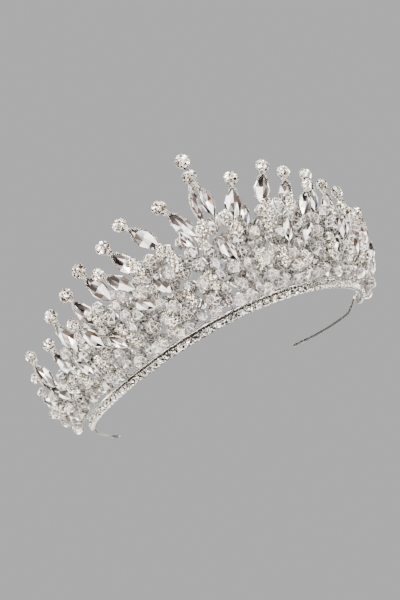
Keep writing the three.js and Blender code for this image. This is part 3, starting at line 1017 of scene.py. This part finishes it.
# Its cup's outline, from the axis and back to it, and its claws' bends: share of the radius, height.
CHATON_CUP = [
    (0, -2.0), (0.42, -2.0), (0.6, -1.6), (0.93, -0.25), (0.95, 0.1), (0.88, 0.1), (0.82, -0.4), (0, -0.5),
]
CHATON_CLAW = [(0.86, -0.7), (0.95, 0.25), (0.74, 1.0)]
CHATON_CLAWS = 8


def add_chaton_setting(soup, matrix):
    soup.add(lathe_z([(share * CHATON_RADIUS, height) for share, height in CHATON_CUP], 24), matrix)
    for j in range(CHATON_CLAWS):
        angle = (j + 0.5) * tau / CHATON_CLAWS
        c, s = CHATON_RADIUS * cos(angle), CHATON_RADIUS * sin(angle)
        soup.add(claw(*[(c * share, s * share, height) for share, height in CHATON_CLAW], 0.24), matrix)


def make_chaton(name, matrix, silver, rng, *nodes):
    stone = Soup()
    tones = pick_tones(rng, CHATON_PALETTE, len(CHATON_STONE.faces))
    radius = CHATON_RADIUS * 0.93
    stone.add(CHATON_STONE, scaled(moved(matrix, z=0.3), radius, radius, 3.2), tones)
    stone.make(name, CRYSTAL, "foiled_crystal", *nodes)
    add_chaton_setting(silver, matrix)


def add_neck(soup, chaton, navette):
    """Twisted wires that come out from under the chaton and spread over the navette's shoulders."""
    root = chaton[:3, 3] - chaton[:3, 1] * (CHATON_RADIUS * 0.8)
    top = moved(navette, y=NAVETTE_LENGTH / 2 - 0.4, z=0.2)[:3, 3]
    soup.add(bar(root, top, NECK_RADII))
    for side in (-1, 0, 1):
        points = [root - chaton[:3, 2] * 0.3 + chaton[:3, 0] * side * NECK_SPREAD]
        for u, rise in ((0.97, 0.5), (0.8, 0.75), (0.55, 0.8)):
            x, y = marquise(u, NAVETTE_WIDTH, NAVETTE_LENGTH)
            points.append(moved(navette, side * x * 0.9, y, rise + 0.5 * (side == 0))[:3, 3])
        if side == 0:
            points = points[:3]
        add_rope(soup, points, NECK_WIRE, NECK_TWIST)


def navette_foot(matrix):
    return moved(matrix, y=-NAVETTE_LENGTH / 2 + 0.5)[:3, 3]


def add_shank(soup, seats, navette):
    """The wire that carries a navette above the end of its string of rondelles."""
    soup.add(bar(seats["path"].at(seats["string_end"] - 1.0), navette_foot(navette), SHANK_RADIUS))


# ---- sprays
class Spray:
    """The glass and the silverwork of one group of stems, gathered for two pieces."""

    def __init__(self, name, node):
        self.name, self.node = name, node
        self.glass, self.silver = Soup(), Soup()
        self.stems = []

    def make(self):
        self.glass.make(f"rondelles_{self.name}", GLASS, "clear_beads", self.node)
        self.silver.make(f"stems_{self.name}", FINE_SILVER, "silver_wire")


# The balls that stand for a navette, each a share of the way from its middle to its tip and a radius,
# and how far they are copied towards the front, where nothing may hide the crystal's face.
NAVETTE_BALLS = [(-0.62, 1.3), (-0.3, 2.3), (0.05, 2.6), (0.4, 2.1), (0.7, 1.2)]
VIEW_CLEARANCE = np.array([-0.5, -2.6, -0.8])


class Taken:
    """The room that is already taken, as balls."""

    def __init__(self):
        self.balls = np.zeros((0, 4))

    def add(self, centre, radius):
        self.balls = np.vstack([self.balls, [*centre, radius]])

    def gap(self, centre):
        """How far centre is from the nearest ball."""
        return (np.linalg.norm(self.balls[:, :3] - centre, axis=1) - self.balls[:, 3]).min()

    def add_navette(self, navette, size):
        for share, radius in NAVETTE_BALLS:
            centre = moved(navette, y=share * size * NAVETTE_LENGTH / 2)[:3, 3]
            self.add(centre, radius * size)
            self.add(centre + VIEW_CLEARANCE, radius * size)


def bead_tones(rng):
    """Tones of one rondelle: facets painted dark grey with a faint tint, in lighter and darker shares, as
    painted shade in place of the dark seen through clear glass; a hole darker still, as painted shade; and
    edges in a painted highlight.
    """
    base = rng.uniform(0.06, 0.22)
    body = np.array([base, base * 0.9, base * rng.uniform(0.78, 0.98)])
    tones = [body * share for share in (0.9, 1.25, 0.8, 1.05, rng.uniform(0.4, 1.25), 0.2)]
    return [tuple(tone) for tone in tones] + [BEAD_EDGE_HIGHLIGHT]


def add_bead(spray, taken, centre, axis, radius, length, rng):
    matrix = spun(seat_matrix(centre, axis, (0.3, -1.0, 0.2)), rng.uniform(0, tau))
    spray.glass.add(RONDELLE, scaled(matrix, radius, length / 2, radius), bead_tones(rng))
    taken.add(centre, radius)


def tilted(axis, angle, rng):
    """axis, turned by up to angle in a random direction."""
    sway = np.array([rng.gauss(0, 1) for _ in range(3)])
    return unit(unit(axis) + tan(angle * rng.random()) * unit(sway - axis * (sway @ axis)))


def string_beads(spray, taken, path, end, rng):
    """Rondelles threaded on a stem from its foot to end."""
    distance = FIRST_BEAD_HEIGHT - FOOT_HEIGHT
    room = end - distance - BEAD_LENGTH / 2
    count = 1 + max(int(room / BEAD_SPACING), 0)
    spacing = room / (count - 1) if count > 1 else 0
    for i in range(count):
        at = distance + i * spacing
        radius = BEAD_RADIUS * rng.uniform(0.93, 1.06)
        length = BEAD_LENGTH * rng.uniform(0.92, 1.03)
        add_bead(spray, taken, path.at(at), tilted(path.along(at), 0.2, rng), radius, length, rng)


def add_stem(spray, taken, stem, rng):
    """A stem with its rondelles, and its leg down the back of the rail."""
    spray.stems.append(stem)
    if abs(stem) in SPIKES:
        seats = spike_seats(stem)
        path, end = seats["path"], seats["string_end"]
    else:
        path = stem_path(stem, field_top(stem / LAST_STEM))
        end = path.length
    string_beads(spray, taken, path, end, rng)
    wire = [path.at(d) for d in np.linspace(0, end, max(int(end / 1.5), 3))]
    spray.silver.add(tube(wire, STEM_RADIUS, 6))
    foot = path.at(0)
    behind = band_point(stem * STEM_PITCH, RAIL_HEIGHT + 0.5, -RAIL_RADIUS - 0.25)
    leg = [foot, (foot + behind) / 2 + UP * 0.2, behind, behind - UP * 1.2]
    spray.silver.add(tube(leg, LEG_RADIUS, 6))


def add_foot_wire(spray):
    """The twisted wire that joins the feet of a spray's stems."""
    stems = sorted(spray.stems)
    knots = Path([stem_point(stem, FOOT_HEIGHT) for stem in stems])
    points = [knots.at(d) for d in np.linspace(0, knots.length, 8 * len(stems))]
    add_rope(spray.silver, points, FOOT_WIRE, FOOT_TWIST)


def add_spike(spray, taken, stem, suffix, rng, joined):
    """A navette and its chaton. One that is joined has no CAD nodes of its own."""
    seats = spike_seats(stem)
    size = seats["size"]
    navette, chaton = scaled(seats["navette"], size), scaled(seats["chaton"], size)
    nodes = ([], []) if joined else ([f"navette_{suffix}"], [f"chaton_{suffix}"])
    make_navette(f"navette_stone_{suffix}", navette, spray.silver, rng, *nodes[0])
    make_chaton(f"chaton_stone_{suffix}", chaton, spray.silver, rng, *nodes[1])
    add_neck(spray.silver, chaton, navette)
    add_shank(spray.silver, seats, navette)
    taken.add_navette(seats["navette"], size)
    taken.add(chaton[:3, 3], CHATON_RADIUS * size)


def add_centre_spike(spray, taken):
    """Two navettes set like an open book under two chatons, one above the other."""
    rng = random.Random(SEED + 2)
    seats = spike_seats(0)
    lower, navette = seats["chaton"], seats["navette"]
    upper = lower.copy()
    upper[:3, 3] = crown_point(0, CROWN_CENTRE_HEIGHT, 0)
    make_chaton("chaton_stone_centre_lower", lower, spray.silver, rng, "chaton_centre_lower")
    make_chaton("chaton_stone_centre_upper", upper, spray.silver, rng, "chaton_centre_upper")
    for side, hand in HANDS:
        across = np.array([side, 0, 0.0])
        up = unit(navette[:3, 1] - across * V_LEAN)
        facing = unit(navette[:3, 2] - across * V_TURN)
        seat = seat_matrix(navette[:3, 3] + across * V_SPREAD, up, facing)
        matrix = scaled(seat, V_SIZE)
        make_navette(f"navette_stone_centre_{hand}", matrix, spray.silver, rng, f"navette_centre_{hand}")
        add_neck(spray.silver, lower, matrix)
        add_shank(spray.silver, seats, matrix)
        taken.add_navette(seat, V_SIZE)
    join_low = moved(lower, y=CHATON_RADIUS * 0.75, z=-1)[:3, 3]
    join_high = moved(upper, y=-CHATON_RADIUS * 0.75, z=-1)[:3, 3]
    spray.silver.add(bar(join_low, join_high, JOIN_RADIUS))


def build_sprays(taken):
    rng = random.Random(SEED + 1)
    centre = Spray("centre", "spray_centre")
    add_stem(centre, taken, 0, rng)
    add_centre_spike(centre, taken)
    sprays = [centre]
    for side, hand in HANDS:
        groups = [(f"{hand}_{i}", f"spray_{hand}_{i}", stems) for i, stems in enumerate(SPRAY_STEMS, 1)]
        groups.append((f"end_{hand}", f"end_tuft_{hand}", END_TUFT_STEMS))
        spike = 0
        for name, node, stems in groups:
            spray = Spray(name, node)
            for stem in stems:
                add_stem(spray, taken, side * stem, rng)
            add_foot_wire(spray)
            for stem in stems:
                if stem in SPIKES:
                    spike += 1
                    add_spike(spray, taken, side * stem, f"{hand}_{spike}", rng, spike > OWN_SPIKES)
            sprays.append(spray)
    return sprays


# ---- crystals within the field
# Station, height, sideways lean of the long axis, size, and whether a chaton sits above.
FIELD_CRYSTALS = [
    (33.5, 31.0, 0.75, 0.9, True), (54.5, 21.5, 0.4, 0.9, True), (31, 20, 0.9, 0.7, False),
    (22.5, 22.5, 0.35, 0.7, False), (86, 14.5, 0.5, 0.75, False), (0, 22.5, -0.35, 0.75, False),
    (47, 14.5, 0.6, 0.65, False), (66, 15, 0.3, 0.65, False), (9.5, 32, 0.3, 0.6, False),
]
FIELD_DEPTH = 6.2
FIELD_CHATON_SIZE = 0.9


def make_field_crystals(taken):
    """Navettes and chatons that lie on the field of rondelles."""
    rng = random.Random(SEED + 5)
    for side, hand in HANDS:
        silver = Soup()
        for i, (station, height, lean, size, has_chaton) in enumerate(FIELD_CRYSTALS):
            if station == 0 and side < 0:
                continue
            s = side * station
            along, out, rise = crown_axes(s)
            up = unit(rise + along * side * lean)
            facing = unit(out + np.array([0, -FRONTWARD, 0]) + along * rng.uniform(-0.25, 0.25))
            seat = seat_matrix(crown_point(s, height, FIELD_DEPTH), up, facing)
            matrix = scaled(seat, size)
            make_navette(f"field_navette_{hand}_{i + 1}", matrix, silver, rng)
            taken.add_navette(seat, size)
            if has_chaton:
                tip = moved(seat, y=size * (NAVETTE_LENGTH / 2 + CHATON_RADIUS + 0.2))
                chaton = scaled(tip, FIELD_CHATON_SIZE)
                make_chaton(f"field_chaton_{hand}_{i + 1}", chaton, silver, rng)
                add_neck(silver, chaton, matrix)
                taken.add(tip[:3, 3], CHATON_RADIUS * FIELD_CHATON_SIZE)
            foot = navette_foot(matrix)
            wire = [foot, foot - rise * 2 - out * 2.5, foot - rise * 4 - out * 5.5]
            silver.add(tube(wire, STEM_RADIUS, 6))
        silver.make(f"field_settings_{hand}", FINE_SILVER, "silver_wire")


# Sprigs of tiny stones: station, lower and upper height, and how far they stray sideways. Each is
# rows of two and three stones by turns, and is widest and stands out most at its middle.
SPRIGS = [
    (17, 10, 17, 0.5), (15.5, 24, 36, 3.0), (25.5, 8, 14, 1.0), (5.5, 26, 36, -2.0), (41.5, 10, 19, 2.5),
    (26, 29, 37, 1.5), (58, 10, 15, 1.0), (48, 24, 30, 1.5), (70, 9, 19, 1.5), (79, 9, 15, 1.5),
    (94, 8, 14, 1.0), (8, 12, 19, 1.5),
]

SPRIG_STEP = 1.2
SPRIG_BOW = 0.9
SPRIG_WIDTH, SPRIG_SWELL = 1.35, 0.5
SPRIG_STONE = 0.85
SPINE_BEHIND, SPINE_RADIUS = 0.6, 0.4


def make_sprigs(taken):
    rng = random.Random(SEED + 4)
    setting = lathe_z([(0, -0.7), (0.7, -0.7), (0.88, 0.0), (0, 0.02)], 8)
    for side, hand in HANDS:
        stones, metal = Soup(), Soup()
        for station, low, high, stray in SPRIGS:
            spine = []
            for i, height in enumerate(np.arange(low, high, SPRIG_STEP)):
                rise = (height - low) / (high - low)
                swell = sin(pi * rise)
                s = side * (station + stray * rise ** 1.6)
                centre = crown_point(s, height, FIELD_DEPTH + SPRIG_BOW * swell)
                along, out, up = crown_axes(s)
                width = SPRIG_WIDTH + SPRIG_SWELL * swell + rng.uniform(-0.2, 0.2)
                for offset in ((-1.0, 0.0, 1.0) if i % 2 else (-0.5, 0.5)):
                    radius = SPRIG_STONE * rng.uniform(0.8, 1.15)
                    place = centre + along * offset * width - out * 0.35 * offset ** 2
                    place = place + up * rng.uniform(-0.2, 0.2)
                    facing = out + along * offset * 0.5 + np.array([0, -0.3, rng.uniform(-0.5, 0.2)])
                    matrix = scaled(seat_matrix(place, up, facing), radius)
                    stones.add(SMALL_STONE, matrix, pick_tones(rng, SPARK_PALETTE))
                    metal.add(setting, matrix)
                taken.add(centre, 0.8 * width)
                spine.append(centre)
            out = band_frame(side * station)[2]
            spine = [point - out * SPINE_BEHIND for point in spine]
            metal.add(tube(spine, SPINE_RADIUS, 6))
            root = spine[0]
            leg = [root, root - out * 1.6 - UP * 1.5, root - out * 3.6 - UP * 2.5]
            metal.add(tube(leg, STEM_RADIUS, 6))
        stones.make(f"sprig_stones_{hand}", SPARK, "foiled_crystal")
        metal.make(f"sprig_settings_{hand}", SPRIG_SILVER_PAINTED_SHADE, "silver_wire")


# ---- loose rondelles
# Layers of loose rondelles: nearest and farthest depth, sizes, how close they may come, and tries.
LAYERS = [
    (3.2, 5.0, (1.0, 1.07, 1.14, 1.2), 0.74, 9000),
    (-3.4, 3.0, (0.9, 1.0, 1.1), 0.6, 9000),
]
FIELD_OVERHANG = 2.5
FIELD_FRONT_DROP = 1.6
FIELD_END_DROP = 3.2

# A close row of rondelles along the rail, where they hide its wires.
HEM_PITCH = 3.4
HEM_HEIGHT = 4.9
HEM_DEPTH = 3.3
HEM_CLOSENESS = 0.3


def field_foot(station, depth):
    """The field's lower edge: close above the rail, and lower in front of it and near the ends."""
    hang = FIELD_END_DROP * smoothstep(abs(station), 80, 100) * smoothstep(depth, 2.5, 4)
    return FIRST_BEAD_HEIGHT - FIELD_FRONT_DROP * smoothstep(depth, 1.5, 2.8) - hang


def hem_places(rng):
    """Station, height, depth, radius and closeness of each rondelle in the row along the rail."""
    for station in np.arange(-FIELD_HALF, FIELD_HALF, HEM_PITCH):
        station += rng.uniform(-0.6, 0.6)
        height = HEM_HEIGHT + rng.uniform(0, 0.6)
        depth = HEM_DEPTH + rng.uniform(-0.2, 0.5)
        yield station, height, depth, BEAD_RADIUS * rng.choice((0.92, 0.99, 1.05)), HEM_CLOSENESS


def field_places(rng):
    """Station, height, depth, radius and closeness of each rondelle that is tried in the layers."""
    half = FIELD_HALF + FIELD_OVERHANG
    for near, far, sizes, closeness, tries in LAYERS:
        for _ in range(tries):
            station = rng.uniform(-half, half)
            depth = rng.uniform(near, far)
            foot = field_foot(station, depth)
            height = foot + rng.random() * (field_top(station / FIELD_HALF) - foot)
            yield station, height, depth, BEAD_RADIUS * rng.choice(sizes), closeness


def fill_field(sprays, taken):
    """Loose rondelles between the strings, each on a short wire from the nearest stem."""
    rng = random.Random(SEED + 3)
    anchors, owners = [], []
    for spray in sprays:
        for stem in spray.stems:
            for height in np.linspace(FOOT_HEIGHT + 1, field_top(stem / LAST_STEM), 8):
                anchors.append(stem_point(stem, height))
                owners.append(spray)
    anchors = np.array(anchors)
    side_limit = cad_box[1][0] / MM
    for station, height, depth, radius, closeness in chain(hem_places(rng), field_places(rng)):
        centre = crown_point(station, height, depth)
        if taken.gap(centre) < radius * closeness:
            continue
        if abs(centre[0]) + radius > side_limit or centre[2] < radius:
            continue
        nearest = int(np.argmin(np.linalg.norm(anchors - centre, axis=1)))
        spray, root = owners[nearest], anchors[nearest]
        _, along, out = band_frame(station)
        swing = along * rng.uniform(-0.8, 0.8) + UP * rng.uniform(-0.6, 0.9)
        axis = tilted(unit(out + swing), 0.5, rng)
        add_bead(spray, taken, centre, axis, radius, 2 * radius * rng.uniform(0.74, 0.88), rng)
        sprout = [root, (root + centre) / 2 + UP * 0.4, centre, centre + axis * radius * 0.9]
        spray.silver.add(tube(sprout, SPROUT_RADIUS, 5))


# ---- the whole scene
make_camera()
make_floor()
make_backdrop()
for lamp in LAMPS:
    make_lamp(*lamp)
make_world()

make_headband()
make_cup_chain()
make_bindings()
taken = Taken()
sprays = build_sprays(taken)
make_field_crystals(taken)
make_sprigs(taken)
fill_field(sprays, taken)
for spray in sprays:
    spray.make()
